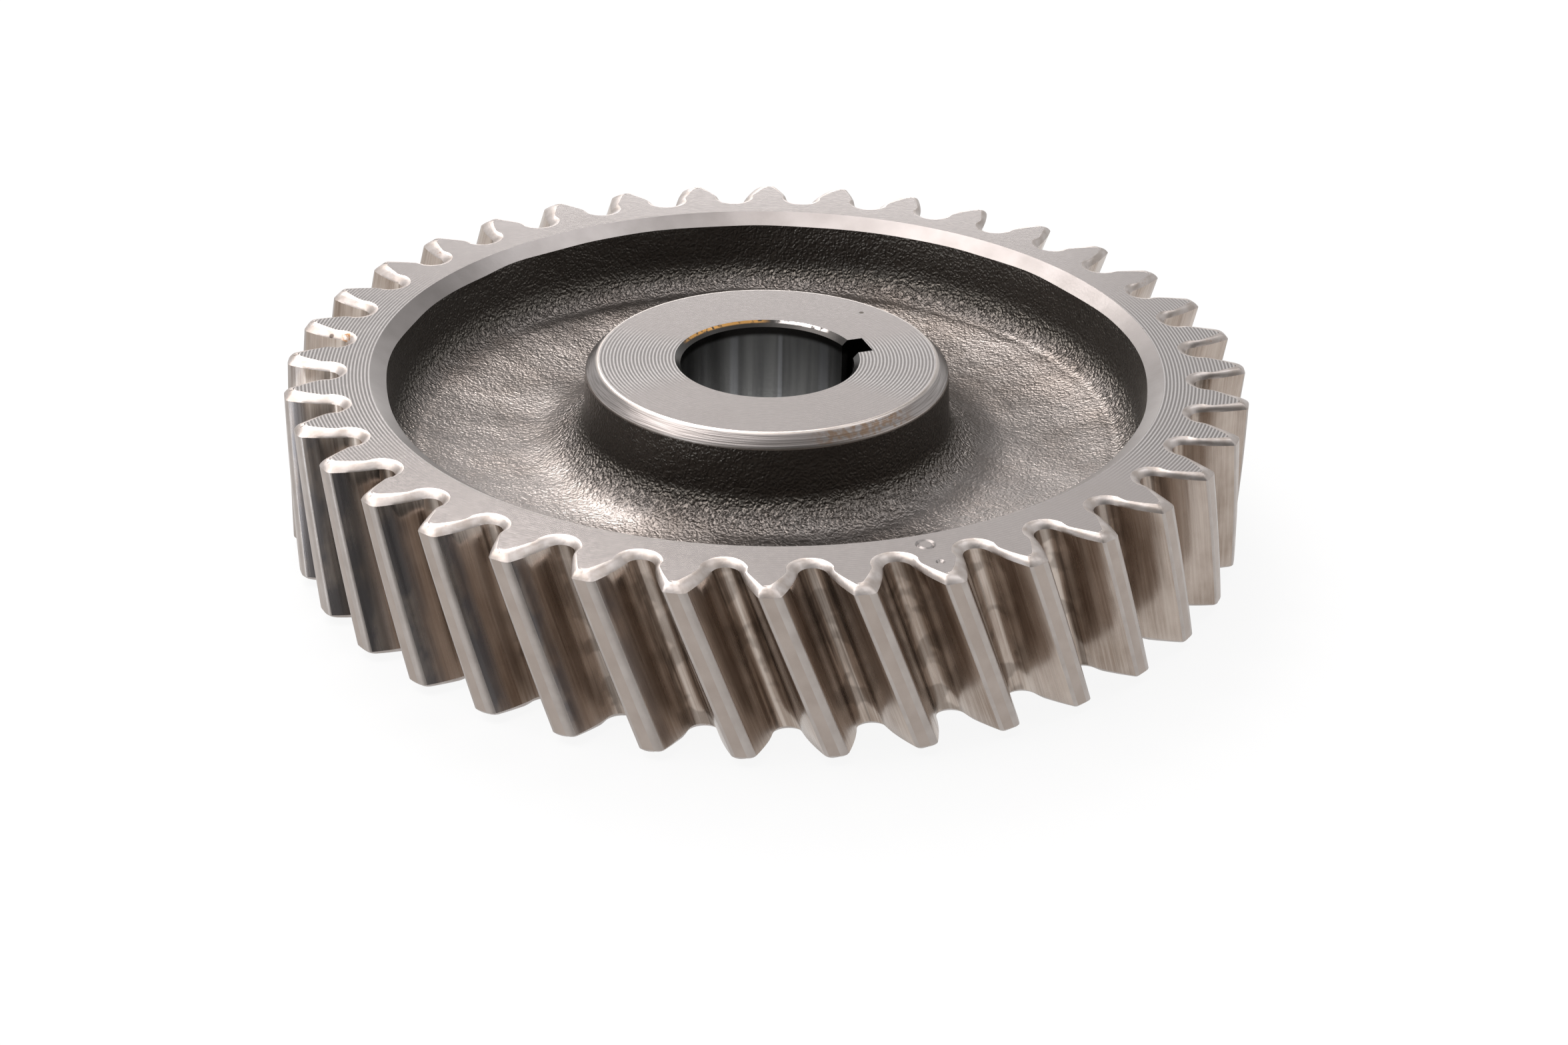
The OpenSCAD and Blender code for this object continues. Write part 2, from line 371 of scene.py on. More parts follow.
def addMark(bm):
    # Stamped ring and punched dot: each starts as a circle in the face, and the metal inside is sunk
    face, depth = gearSizes["frontFace"], markSizes["depth"]
    rims = []
    for distance, outer, inner in (markSizes["ring"], markSizes["dot"]):
        centre = polar(distance, math.radians(markSizes["azimuth"]), face)
        circle = bmesh.ops.create_circle(bm, segments=markSizes["segments"], radius=outer)["verts"]
        bmesh.ops.translate(bm, verts=circle, vec=centre)
        rims += list({edge for vert in circle for edge in vert.link_edges})
        run = sorted(circle, key=lambda v: math.atan2(v.co.y - centre.y, v.co.x - centre.x))
        steps = [((outer + inner) / 2, -depth)]
        if inner:
            steps.append((inner, 0.0))
        for size, drop in steps:
            ways = [(v.co - centre).xy.to_3d().normalized() for v in run]
            places = [centre + way * size + Vector((0, 0, drop)) for way in ways]
            run, walls = extrudeTo(bm, run, places, closed=True)
            for wall in walls:
                wall.material_index = slotOf["mouth"]
        edges = [bm.edges.get(pair) for pair in zip(run, run[1:] + run[:1])]
        for lid in bmesh.ops.contextual_create(bm, geom=edges)["faces"]:
            lid.material_index = slotOf["turned"]
    return rims


def openEdges(bm, z, low, high):
    return [e for e in bm.edges if e.is_boundary and low < e.verts[0].co.xy.length < high
            and all(abs(v.co.z - z) < sameHeight for v in e.verts)]


def addFaces(bm, rims):
    # Fills the flat faces between the loops that lie open in them. Each plan has a height, the radii between
    # which the loops lie, the mark's loops and the way up.
    rim = (mouthRadius, tipRadius + 1)
    hub = (gearSizes["boreRadius"] - 1, gearSizes["hubRadius"] - gearSizes["hubBevel"])
    plans = [(gearSizes["frontFace"], rim, rims, 1), (gearSizes["backFace"], rim, [], -1),
             (gearSizes["height"], hub, [], 1), (0.0, hub, [], -1)]
    for z, radii, extra, up in plans:
        edges = set(openEdges(bm, z, *radii)) | set(extra)
        made = bmesh.ops.triangle_fill(bm, edges=list(edges), use_beauty=True, normal=(0, 0, up))["geom"]
        for face in made:
            if isinstance(face, bmesh.types.BMFace):
                face.material_index = slotOf["turned"]


def roughenRecess(bm):
    # Swells and dimples of the forging on the skin, with a slightly wavy line where the turned bevel cuts it
    bm.normal_update()
    detail = recessDetail
    low, high = detail["skin"]
    shift = Vector(detail["dimpleShift"])
    mouthSlope = gearSizes["mouthHeight"] / gearSizes["mouthWidth"]
    moves = []
    for vert in bm.verts:
        kinds = {face.material_index for face in vert.link_faces}
        inFront = vert.co.z > detail["webMiddle"]
        if kinds == {slotOf["forged"]}:
            fade = max(0, min(1, (high - vert.co.z if inFront else vert.co.z - low) / detail["fade"]))
            swell = noise.noise(vert.co / detail["swellSize"]) * detail["swell"]
            dimple = noise.noise(vert.co / detail["dimpleSize"] + shift) * detail["dimple"]
            moves.append((vert, vert.normal * (swell + dimple) * fade))
        elif kinds == {slotOf["forged"], slotOf["mouth"]}:
            if abs(vert.co.xy.length - mouthRadius) < detail["mouthMargin"]:
                wave = noise.noise(vert.co / detail["mouthWaveSize"]) * detail["mouthWave"]
                slope = mouthSlope if inFront else -mouthSlope
                moves.append((vert, vert.co.xy.to_3d().normalized() * wave + Vector((0, 0, slope * wave))))
    for vert, move in moves:
        vert.co += move


def joined(parts):
    # One bmesh holding all the parts, each made in a bmesh of its own
    whole = bmesh.new()
    for add, arguments in parts:
        part = bmesh.new()
        add(part, *arguments)
        mesh = bpy.data.meshes.new("part")
        part.to_mesh(mesh)
        part.free()
        whole.from_mesh(mesh)
        bpy.data.meshes.remove(mesh)
    return whole


def markSharp(bm, limit):
    for edge in bm.edges:
        kinds = {face.material_index for face in edge.link_faces}
        borders = len(kinds) == 2 and slotOf["turned"] in kinds
        edge.smooth = not borders and edge.calc_face_angle(math.pi) < limit


def linked(name, data):
    made = bpy.data.objects.new(name, data)
    bpy.context.scene.collection.objects.link(made)
    return made


def buildGear():
    bm = joined([(addTeeth, ()), (addRecess, ("front",)), (addRecess, ("back",)), (addBore, ())])
    rims = addMark(bm)
    addFaces(bm, rims)
    bmesh.ops.recalc_face_normals(bm, faces=bm.faces[:])
    roughenRecess(bm)
    for face in bm.faces:
        face.smooth = True
    markSharp(bm, math.radians(sharpAngle))
    bmesh.ops.scale(bm, vec=(millimetre, millimetre, millimetre), verts=bm.verts[:])
    mesh = bpy.data.meshes.new("helicalGear")
    bm.to_mesh(mesh)
    print("open or crossed edges:", sum(1 for e in bm.edges if not e.is_manifold))
    bm.free()
    return linked("helicalGear", mesh)


gear = buildGear()
triangleCount = sum(len(face.vertices) - 2 for face in gear.data.polygons)
print("gear:", len(gear.data.polygons), "faces,", triangleCount, "triangles")


# Materials. Every pattern reads Object coordinates, turned into millimetres.
noiseRange = (0.3, 0.7)  # nearly all values of a noise lie in it


def node(tree, kind, inputs=None, **settings):
    made = tree.nodes.new("ShaderNode" + kind)
    for name, value in settings.items():
        setattr(made, name, value)
    for key, value in (inputs or {}).items():
        if isinstance(value, bpy.types.NodeSocket):
            tree.links.new(value, made.inputs[key])
        else:
            made.inputs[key].default_value = value
    return made


def calc(tree, operation, a, b=0.0, c=0.0):
    return node(tree, "Math", {0: a, 1: b, 2: c}, operation=operation).outputs[0]


def times(tree, first, *others):
    for other in others:
        first = calc(tree, "MULTIPLY", first, other)
    return first


def vectorCalc(tree, operation, a, b=(0, 0, 0), output=0):
    return node(tree, "VectorMath", {0: a, 1: b}, operation=operation).outputs[output]


def scaled(tree, vector, size):
    return node(tree, "VectorMath", {0: vector, "Scale": size}, operation="SCALE").outputs[0]


def flatter(tree, place, share):
    # Shortens the height, so that a pattern read at this place is drawn out along the axis
    return vectorCalc(tree, "MULTIPLY", place, (1, 1, share))


def placeOf(tree):
    return scaled(tree, node(tree, "TexCoord").outputs["Object"], 1 / millimetre)


def alongTeeth(tree, share):
    # A place turned back along the helix and made flatter, so that a pattern runs along the teeth
    place = placeOf(tree)
    turn = times(tree, heightOf(tree, place), twist)
    turned = node(tree, "VectorRotate", {"Vector": place, "Angle": turn}, rotation_type="Z_AXIS").outputs[0]
    return flatter(tree, turned, share)


def normalOf(tree):
    return node(tree, "TexCoord").outputs["Normal"]


def heightOf(tree, place):
    return node(tree, "SeparateXYZ", {0: place}).outputs["Z"]


def outwardOf(tree, place):
    return vectorCalc(tree, "NORMALIZE", flatter(tree, place, 0))


def radiusOf(tree, place):
    return vectorCalc(tree, "LENGTH", flatter(tree, place, 0), output="Value")


def noiseOf(tree, place, size, detail=2.0, rough=0.5):
    # The looks below give a noise's size in millimetres, then its detail and roughness
    inputs = {"Vector": place, "Scale": 1 / size, "Detail": detail, "Roughness": rough}
    return node(tree, "TexNoise", inputs).outputs["Fac"]


def spread(tree, value, low, high, toLow=0.0, toHigh=1.0, soft=False):
    # The looks below give a spread's range of values, then what its ends become
    settings = {"interpolation_type": "SMOOTHSTEP"} if soft else {}
    inputs = {"Value": value, "From Min": low, "From Max": high, "To Min": toLow, "To Max": toHigh}
    return node(tree, "MapRange", inputs, **settings).outputs[0]


def near(tree, place, spot, size, fade=0.5):
    # 1 at a spot and 0 outside its size
    away = vectorCalc(tree, "DISTANCE", place, spot, output="Value")
    return spread(tree, away, size * fade, size, 1.0, 0.0, soft=True)


def facing(tree, place, azimuth, full, none):
    # 1 where the place lies within `full` degrees of an azimuth about the axis, 0 beyond `none` degrees
    middle = polar(1, math.radians(azimuth))
    lined = vectorCalc(tree, "DOT_PRODUCT", outwardOf(tree, place), middle, output="Value")
    return spread(tree, lined, math.cos(math.radians(none)), math.cos(math.radians(full)), soft=True)


def blendColour(tree, share, a, b):
    made = node(tree, "Mix", data_type="RGBA")
    for index, value in ((0, share), (6, a), (7, b)):  # 6 and 7 are the inputs for colours
        if isinstance(value, bpy.types.NodeSocket):
            tree.links.new(value, made.inputs[index])
        else:
            made.inputs[index].default_value = value if index == 0 else (*value, 1)
    return made.outputs[2]


def shaded(tree, place, look):
    # Soft clouds of two shades
    cloud = spread(tree, noiseOf(tree, place, *look["shadeNoise"]), *look["shadeSpread"])
    return blendColour(tree, cloud, look["shade"], look["colour"])


def bumped(tree, height, distance, strength=1.0, under=None):
    inputs = {"Height": height, "Distance": distance * millimetre, "Strength": strength}
    if under is not None:
        inputs["Normal"] = under
    return node(tree, "Bump", inputs).outputs[0]


def unevenRough(tree, value, look):
    return spread(tree, value, *noiseRange, *look["rough"])


def finish(name, **values):
    material = bpy.data.materials.new(name)
    material.use_nodes = True
    tree = material.node_tree
    shader = tree.nodes["Principled BSDF"]
    for key, value in values.items():
        shader.inputs[key.replace("_", " ")].default_value = value
    return material, tree, shader


def plug(tree, shader, **sockets):
    for key, value in sockets.items():
        tree.links.new(value, shader.inputs[key.replace("_", " ")])


turnedLook = {
    "plain": (0.348, 0.314, 0.301), "ridgePaintedHighlight": (0.5, 0.47, 0.46), "groovePaintedShade": (0.195, 0.177, 0.17),
    "pitch": 0.45, "slope": 0.09, "ridgeSpread": (-0.6, 1.0), "driftNoise": (30.0, 0.0), "drift": 2.0,
    "paintedLineSectors": ((165, 16, 34), (-25, 16, 34)),  # where the tool's lines show as painted highlight and shade and as tilted normals: azimuth, full and faded out
    "faint": 0.06,  # how much of the painted lines and their tilt shows elsewhere
    "stain": (0.29, 0.255, 0.24), "stainNoise": (7.0, 4.0), "stainSpread": (0.5, 0.8, 0.0, 0.22),
    "grainNoise": (0.5, 2.0), "grain": 0.006, "rough": (0.16, 0.2),
    "pits": (((16.26, 9.58, 22.6), 0.42), ((47.15, -11.26, 22.3), 0.4),
             ((49.5, -5.47, 22.3), 0.25), ((45.69, 16.21, 22.3), 0.35)),
    "pitColour": (0.09, 0.07, 0.055),
}


def turnedFinish():
    look = turnedLook
    material, tree, shader = finish("turnedSteel", Metallic=1.0)
    place = placeOf(tree)
    drift = times(tree, noiseOf(tree, place, *look["driftNoise"]), look["drift"])
    phase = calc(tree, "MULTIPLY_ADD", radiusOf(tree, place), 2 * math.pi / look["pitch"], drift)
    # Painted highlight on the ridges and painted shade in the grooves, strong in the two sectors and faint
    # elsewhere
    ridgeHighlightShare = spread(tree, calc(tree, "SINE", phase), *look["ridgeSpread"])
    lined = [facing(tree, place, *sector) for sector in look["paintedLineSectors"]]
    lined = spread(tree, calc(tree, "MAXIMUM", *lined), 0.0, 1.0, look["faint"], 1.0)
    lines = blendColour(tree, ridgeHighlightShare, look["groovePaintedShade"], look["ridgePaintedHighlight"])
    colour = blendColour(tree, lined, look["plain"], lines)
    cloud = spread(tree, noiseOf(tree, place, *look["stainNoise"]), *look["stainSpread"])
    colour = blendColour(tree, cloud, colour, look["stain"])
    for spot, size in look["pits"]:
        colour = blendColour(tree, near(tree, place, spot, size), colour, look["pitColour"])
    # The sides of the grooves tilt the normal outwards and inwards
    tilt = times(tree, calc(tree, "COSINE", phase), times(tree, lined, look["slope"]))
    normal = vectorCalc(tree, "ADD", normalOf(tree), scaled(tree, outwardOf(tree, place), tilt))
    normal = vectorCalc(tree, "NORMALIZE", normal)
    normal = node(tree, "VectorTransform", {0: normal}, vector_type="NORMAL",
                  convert_from="OBJECT", convert_to="WORLD").outputs[0]
    grain = noiseOf(tree, place, *look["grainNoise"])
    plug(tree, shader, Base_Color=colour, Normal=bumped(tree, grain, look["grain"], under=normal),
         Roughness=unevenRough(tree, grain, look))
    return material


bandLook = {
    "colour": (0.43, 0.392, 0.375), "shade": (0.33, 0.288, 0.262), "rough": 0.42,
    "shadeNoise": (1.6, 3.0), "shadeSpread": (0.35, 0.65), "grainNoise": (0.35, 3.0), "grain": 0.018,
    "rust": (0.24, 0.12, 0.05), "rustSpot": ((-48.9, 23.3, 21.9), 1.1), "rustSpread": (0.4, 0.6),
    "tinge": 0.7, "tingeNoise": (3.2, 3.0, 0.6), "tingeSpread": (0.62, 0.72), "tingeGrain": (0.45, 0.6),
    "smudge": (0.34, 0.33, 0.33), "smudgeSpot": ((-3.4, 52.4, 21.9), 1.6),
    "pit": (0.1, 0.08, 0.07), "pitSpot": ((-50.63, 24.68, 21.8), 0.45),
}


def bandFinish():
    look = bandLook
    material, tree, shader = finish("deburredBand", Metallic=0.95, Roughness=look["rough"])
    place = placeOf(tree)
    grain = noiseOf(tree, place, *look["grainNoise"])
    rust = times(tree, near(tree, place, *look["rustSpot"]), spread(tree, grain, *look["rustSpread"]))
    colour = blendColour(tree, rust, shaded(tree, place, look), look["rust"])
    patches = spread(tree, noiseOf(tree, place, *look["tingeNoise"]), *look["tingeSpread"])
    tinge = times(tree, patches, spread(tree, grain, *look["tingeGrain"]), look["tinge"])
    colour = blendColour(tree, tinge, colour, look["rust"])
    for tint in ("smudge", "pit"):
        colour = blendColour(tree, near(tree, place, *look[tint + "Spot"]), colour, look[tint])
    plug(tree, shader, Base_Color=colour, Normal=bumped(tree, grain, look["grain"]))
    return material


flankLook = {
    "colour": (0.435, 0.366, 0.318), "rough": (0.2, 0.34),
    "film": (0.26, 0.20, 0.16), "filmFlat": 0.5, "filmNoise": (8.0, 4.0, 0.6), "filmSpread": (0.36, 0.66),
    "streakFlat": 0.03, "fineNoise": (0.3, 3.0, 0.6), "fine": 0.008,
    "broadNoise": (1.1, 2.0, 0.55), "broad": 0.03,
    "streakRise": (0.6, 3.4), "faint": 0.2,  # heights over the root between which the streaks turn faint
    "pale": (0.62, 0.55, 0.49), "paleSpread": (0.5, 0.64, 0.0, 0.6), "fineSpread": (0.4, 0.65, 0.0, 0.25),
    "oil": (0.065, 0.05, 0.04), "oilSpread": (0.46, 0.36, 0.0, 0.6),
    "cool": (0.17, 0.162, 0.168), "coolAt": (202, 22, 50), "coolDepth": (2.9, 1.3),  # depth under the tip
    "coolFlat": 0.4, "coolNoise": (2.6, 3.0), "coolSpread": (0.36, 0.54, 0.25, 0.85),
    "patch": 0.4, "patchRise": (0.3, 2.4), "patchNoise": (3.4, 2.0), "patchSpread": (0.47, 0.56),
}


def flankFinish():
    look = flankLook
    material, tree, shader = finish("hobbedFlank", Metallic=1.0)
    along, place = alongTeeth(tree, look["streakFlat"]), placeOf(tree)
    radius = radiusOf(tree, place)
    fine = noiseOf(tree, along, *look["fineNoise"])
    broad = noiseOf(tree, along, *look["broadNoise"])
    film = noiseOf(tree, flatter(tree, place, look["filmFlat"]), *look["filmNoise"])
    colour = blendColour(tree, spread(tree, film, *look["filmSpread"]), look["colour"], look["film"])
    # The hob's streaks are strong in the root of a space and faint on the upper flanks
    start, end = look["streakRise"]
    low = spread(tree, radius, rootRadius + start, rootRadius + end, 1.0, look["faint"], soft=True)
    for tint in ("pale", "oil"):
        streak = spread(tree, broad, *look[tint + "Spread"], soft=True)
        colour = blendColour(tree, times(tree, streak, low), colour, look[tint])
    colour = blendColour(tree, spread(tree, fine, *look["fineSpread"]), colour, look["pale"])
    # The outer part of the flanks is darker and cooler on one side of the gear
    start, end = look["coolDepth"]
    outer = spread(tree, radius, tipRadius - start, tipRadius - end, soft=True)
    uneven = noiseOf(tree, flatter(tree, place, look["coolFlat"]), *look["coolNoise"])
    uneven = spread(tree, uneven, *look["coolSpread"])
    cool = times(tree, outer, uneven, facing(tree, place, *look["coolAt"]))
    colour = blendColour(tree, cool, colour, look["cool"])
    # Patches of oil lie at the bottom of the spaces
    start, end = look["patchRise"]
    bottom = spread(tree, radius, rootRadius + start, rootRadius + end, 1.0, 0.0, soft=True)
    patch = spread(tree, noiseOf(tree, place, *look["patchNoise"]), *look["patchSpread"], soft=True)
    colour = blendColour(tree, times(tree, bottom, patch, look["patch"]), colour, look["oil"])
    normal = bumped(tree, broad, look["broad"], under=bumped(tree, fine, look["fine"]))
    plug(tree, shader, Base_Color=colour, Normal=normal, Roughness=unevenRough(tree, broad, look))
    return material


landLook = {
    "colour": (0.395, 0.34, 0.305), "shade": (0.34, 0.288, 0.255), "rough": (0.32, 0.38),
    "shadeNoise": (3.0, 4.0), "shadeSpread": noiseRange, "wornNoise": (1.0, 2.0),
    "streakFlat": 0.03, "grainNoise": (0.25, 2.0), "grain": 0.008,
}


def landFinish():
    look = landLook
    material, tree, shader = finish("toothLand", Metallic=1.0)
    place = placeOf(tree)
    grain = noiseOf(tree, alongTeeth(tree, look["streakFlat"]), *look["grainNoise"])
    worn = noiseOf(tree, place, *look["wornNoise"])
    plug(tree, shader, Base_Color=shaded(tree, place, look), Normal=bumped(tree, grain, look["grain"]),
         Roughness=unevenRough(tree, worn, look))
    return material


def cloudedFinish(name, look):
    # Bright steel in two shades with a fine grain
    material, tree, shader = finish(name, Metallic=1.0, Roughness=look["rough"])
    place = placeOf(tree)
    grain = noiseOf(tree, place, *look["grainNoise"])
    plug(tree, shader, Base_Color=shaded(tree, place, look), Normal=bumped(tree, grain, look["grain"]))
    return material


# Rolled edges of the teeth and thin strips at the hub bevel's edges: lighter than the faces beside them,
# partly polish from wear and partly painted highlight
edgeWearAndHighlightLook = {
    "colour": (0.43, 0.39, 0.365), "shade": (0.36, 0.32, 0.295), "rough": 0.34,
    "shadeNoise": (2.4, 3.0), "shadeSpread": noiseRange, "grainNoise": (0.3, 2.0), "grain": 0.01,
}


def edgeWearAndHighlightFinish():
    return cloudedFinish("polishedEdgeAndHighlight", edgeWearAndHighlightLook)


mouthLook = {
    "colour": (0.268, 0.246, 0.238), "shade": (0.22, 0.2, 0.192), "rough": 0.34,
    "shadeNoise": (4.0, 4.0), "shadeSpread": noiseRange, "grainNoise": (0.4, 2.0), "grain": 0.008,
}


def mouthFinish():
    return cloudedFinish("turnedMouth", mouthLook)


forgedLook = {
    "colour": (0.16, 0.143, 0.134), "rough": (0.28, 0.38), "wornNoise": (1.2, 3.0),
    "pebble": 0.4, "pebbleSoft": 0.6, "pebbleShift": 1.1, "rise": 0.28,
    "wallSkin": (0.25, 0.55, 0.5, 1.0), "webSkin": (0.86, 0.975, 1.0, 0.24),  # how far the pebbles stand out
    "unevenNoise": (1.1, 2.0), "uneven": 0.05,
    "brown": (0.132, 0.113, 0.102), "brownNoise": (9.0, 4.0, 0.6), "brownSpread": (0.42, 0.7),
    "wall": (0.1, 0.09, 0.08), "wallShadeSpread": (0.45, 0.96, 1.0, 0.0),
}


def forgedFinish():
    look = forgedLook
    material, tree, shader = finish("forgedSkin", Metallic=0.95)
    place = placeOf(tree)
    shift = node(tree, "TexNoise", {"Vector": place, "Scale": look["pebbleShift"]}).outputs["Color"]
    shifted = vectorCalc(tree, "ADD", place, shift)
    inputs = {"Vector": shifted, "Scale": 1 / look["pebble"], "Smoothness": look["pebbleSoft"]}
    pebbles = node(tree, "TexVoronoi", inputs, feature="SMOOTH_F1").outputs["Distance"]
    # The pebbles stand out in the fillets and are worn flat on the web and on the walls
    level = calc(tree, "ABSOLUTE", heightOf(tree, normalOf(tree)))
    onWall = spread(tree, level, *look["wallSkin"])
    onWeb = spread(tree, level, *look["webSkin"], soft=True)
    coarse = calc(tree, "MINIMUM", onWall, onWeb)
    normal = bumped(tree, noiseOf(tree, place, *look["unevenNoise"]), look["uneven"])
    normal = bumped(tree, pebbles, -look["rise"], strength=coarse, under=normal)
    brown = spread(tree, noiseOf(tree, place, *look["brownNoise"]), *look["brownSpread"])
    colour = blendColour(tree, brown, look["colour"], look["brown"])
    # Painted shade: the more upright a face of the skin stands, the darker its colour, so walls and steep
    # fillets turn dark
    colour = blendColour(tree, spread(tree, level, *look["wallShadeSpread"], soft=True), colour, look["wall"])
    worn = noiseOf(tree, place, *look["wornNoise"])
    plug(tree, shader, Base_Color=colour, Normal=normal, Roughness=unevenRough(tree, worn, look))
    return material


hubBevelLook = {
    "colour": (0.275, 0.252, 0.244), "line": (0.175, 0.158, 0.15), "rough": 0.28,
    "lineNoise": (0.26, 2.0), "lineSpread": (0.38, 0.6), "lineDepth": 0.03, "lineDrift": 1.2,
    "stain": (0.17, 0.11, 0.07), "stainAt": (-76, 10, 22), "stained": 0.8,
    "stainNoise": (0.8, 3.0), "stainSpread": (0.42, 0.6),
    "nickGlint": (0.9, 0.86, 0.8), "nickGlintSize": 0.3, "nickGlints": ((-23.1, -5.8, 21.3), (-22.2, -7.6, 21.3)),
}


def hubBevelFinish():
    look = hubBevelLook
    material, tree, shader = finish("turnedBevel", Metallic=1.0, Roughness=look["rough"])
    place = placeOf(tree)
    # The tool's lines run round the bevel and change slowly on their way
    across = calc(tree, "SUBTRACT", radiusOf(tree, place), heightOf(tree, place))
    across = node(tree, "CombineXYZ", {"X": across}).outputs[0]
    around = vectorCalc(tree, "MULTIPLY", outwardOf(tree, place), (0, look["lineDrift"], look["lineDrift"]))
    lines = noiseOf(tree, vectorCalc(tree, "ADD", across, around), *look["lineNoise"])
    colour = blendColour(tree, spread(tree, lines, *look["lineSpread"]), look["line"], look["colour"])
    patchy = spread(tree, noiseOf(tree, place, *look["stainNoise"]), *look["stainSpread"])
    stained = times(tree, facing(tree, place, *look["stainAt"]), patchy, look["stained"])
    colour = blendColour(tree, stained, colour, look["stain"])
    # Painted glints at two nicks near the bevel's lower edge
    for spot in look["nickGlints"]:
        colour = blendColour(tree, near(tree, place, spot, look["nickGlintSize"]), colour, look["nickGlint"])
    plug(tree, shader, Base_Color=colour, Normal=bumped(tree, lines, look["lineDepth"]))
    return material


boreLook = {
    "colour": (0.36, 0.36, 0.355), "shade": (0.22, 0.22, 0.22), "rough": 0.26,
    "shadeFlat": 0.04, "shadeNoise": (1.5, 3.0), "shadeSpread": (0.38, 0.62),
    "streak": (0.62, 0.63, 0.66), "streaked": 0.5, "streaks": ((29, 2, 5.5), (62, 0.3, 2), (94, 1, 4)),
    "paintedShade": (0.045, 0.042, 0.04), "endShadeSpread": (1.5, 2.1, 1.0, 0.0), "keyShadeRadii": (11.72, 11.76),
    "lineRadii": (11.35, 11.5), "lineHeights": (20.0, 21.0),
    "lineNoise": (0.7, 3.0), "lineSpread": (0.35, 0.5),
    "stain": (0.50, 0.27, 0.09), "stainAt": (104, 24, 36), "pale": (0.85, 0.78, 0.75), "paleAt": (47, 11, 20),
    "grainNoise": (0.5, 3.0), "grain": 0.008,
}


def boreFinish():
    look = boreLook
    material, tree, shader = finish("boredSteel", Metallic=1.0, Roughness=look["rough"])
    place = placeOf(tree)
    radius, height = radiusOf(tree, place), heightOf(tree, place)
    colour = shaded(tree, flatter(tree, place, look["shadeFlat"]), look)
    for sector in look["streaks"]:
        streak = times(tree, facing(tree, place, *sector), look["streaked"])
        colour = blendColour(tree, streak, colour, look["streak"])
    # Painted shade darkens each end of the bore. At the outer edge of the front bevel, a line carries a
    # painted highlight on one side and an orange-brown tint, partly stain and partly painted highlight, on
    # another
    fromEnd = calc(tree, "MINIMUM", height, calc(tree, "SUBTRACT", gearSizes["height"], height))
    colour = blendColour(tree, spread(tree, fromEnd, *look["endShadeSpread"], soft=True), colour, look["paintedShade"])
    outer = spread(tree, radius, *look["lineRadii"], soft=True)
    front = spread(tree, height, *look["lineHeights"])
    broken = spread(tree, noiseOf(tree, place, *look["lineNoise"]), *look["lineSpread"])
    # The pale tint is a painted highlight; the orange-brown tint is partly a stain and partly a painted
    # highlight
    for tint in ("stain", "pale"):
        there = facing(tree, place, *look[tint + "At"])
        share = times(tree, there, front, times(tree, outer, broken))
        colour = blendColour(tree, share, colour, look[tint])
    # Painted shade inside the keyway
    colour = blendColour(tree, spread(tree, radius, *look["keyShadeRadii"]), colour, look["paintedShade"])
    grain = noiseOf(tree, place, *look["grainNoise"])
    plug(tree, shader, Base_Color=colour, Normal=bumped(tree, grain, look["grain"]))
    return material


for makeFinish in (turnedFinish, bandFinish, flankFinish, landFinish, edgeWearAndHighlightFinish, forgedFinish, mouthFinish,
                   hubBevelFinish, boreFinish):
    gear.data.materials.append(makeFinish())
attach(gear, "root")
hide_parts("gear")
print("finishes:", ", ".join(m.name for m in gear.data.materials))


# Studio: a pale floor, a plain pale world and soft lamps. Camera, glossy and transmitted rays see its white.
studioLook = {
    "floor": (0.82, 0.82, 0.82), "floorRough": 0.9, "floorGlow": 0.9, "floorHalf": 3.0, "floorDrop": 0.0003,
    "world": (1.0, 0.985, 0.97), "worldLevel": 0.3,
    "dimParts": ((-92, 6, 23, 65, 0.09), (38, 52, 10, 31, 0.3)),  # azimuth, elevation, full, faded out, level
}


def whiteShare(tree, path):
    seen = calc(tree, "ADD", path.outputs["Is Camera Ray"], path.outputs["Is Glossy Ray"])
    inputs = {0: seen, 1: path.outputs["Is Transmission Ray"]}
    return node(tree, "Math", inputs, operation="ADD", use_clamp=True).outputs[0]


def stageFloor():
    mesh = bpy.data.meshes.new("studioFloor")
    bm = bmesh.new()
    bmesh.ops.create_grid(bm, x_segments=4, y_segments=4, size=studioLook["floorHalf"])
    bmesh.ops.translate(bm, verts=bm.verts[:], vec=(0, 0, -studioLook["floorDrop"]))
    bm.to_mesh(mesh)
    bm.free()
    floor = linked("studioFloor", mesh)
    material, tree, shader = finish("paleFloor", Base_Color=(*studioLook["floor"], 1),
                                    Roughness=studioLook["floorRough"])
    glow = node(tree, "Emission", {"Strength": 1.0})
    share = times(tree, whiteShare(tree, node(tree, "LightPath")), studioLook["floorGlow"])
    mixed = node(tree, "MixShader", {0: share, 1: shader.outputs[0], 2: glow.outputs[0]})
    tree.links.new(mixed.outputs[0], tree.nodes["Material Output"].inputs["Surface"])
    mesh.materials.append(material)


